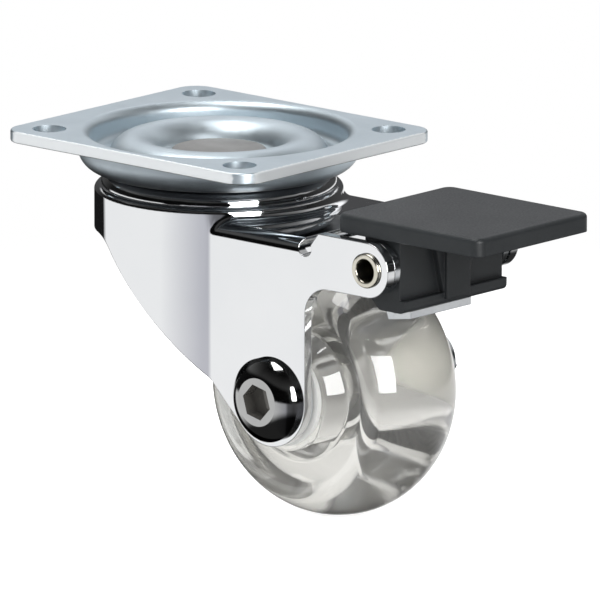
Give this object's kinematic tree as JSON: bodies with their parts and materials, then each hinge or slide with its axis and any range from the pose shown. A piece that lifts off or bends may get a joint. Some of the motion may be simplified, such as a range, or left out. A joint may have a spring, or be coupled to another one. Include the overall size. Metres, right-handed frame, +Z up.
{
  "type": "castor wheel",
  "caption": "Swivel castor with a screw-on top plate, a pressed chrome fork on ball races, a clear crowned wheel on a bushed axle and a black foot pedal that brakes the tread.",
  "frame": {"origin": "on the swivel axis, in the top face of the plate, at the centre of its four holes", "axes": "+Z up out of the plate's top face along the swivel axis, +X back towards the wheel and the pedal, Y along the axle"},
  "size_m": [0.1097, 0.0568, 0.0695],
  "materials": {
    "plate_zinc": "bright zinc plated pressing",
    "ball_steel": "polished",
    "zinc_steel": "bright zinc plated",
    "fork_chrome": "mirror chrome",
    "screw_chrome": "dark polished chrome",
    "rivet_nickel": "nickel plated",
    "clear_wheel": "clear polyurethane",
    "bush_nylon": "natural nylon",
    "insert_nylon": "nylon",
    "pedal_plastic": "satin black moulding"
  },
  "bodies": {
    "base": {"top_plate": "plate_zinc", "upper_balls": "ball_steel", "lower_balls": "ball_steel", "lower_race": "zinc_steel", "kingpin": "plate_zinc"},
    "fork_body": {"fork": "fork_chrome", "axle_sleeve": "zinc_steel", "axle_screw": "screw_chrome", "axle_nut": "zinc_steel", "nut_washer": "zinc_steel", "nut_insert": "insert_nylon", "thrust_washer_near": "zinc_steel", "thrust_washer_far": "zinc_steel", "brake_rivet": "rivet_nickel"},
    "wheel_body": {"wheel": "clear_wheel", "bush_near": "bush_nylon", "bush_far": "bush_nylon"},
    "pedal_body": {"brake_lever": "zinc_steel", "brake_pedal": "pedal_plastic"}
  },
  "joints": [
    {"name": "swivel", "type": "hinge", "parent": "base", "child": "fork_body", "pos_m": [0, 0, 0], "axis": [0, 0, 1], "continuous": true},
    {"name": "wheel_spin", "type": "hinge", "parent": "fork_body", "child": "wheel_body", "pos_m": [0.029, 0, -0.0445], "axis": [0, 1, 0], "continuous": true},
    {"name": "brake_press", "type": "hinge", "parent": "fork_body", "child": "pedal_body", "pos_m": [0.0535, 0, -0.01615], "axis": [0, 1, 0], "range_deg": [0, 24]}
  ]
}
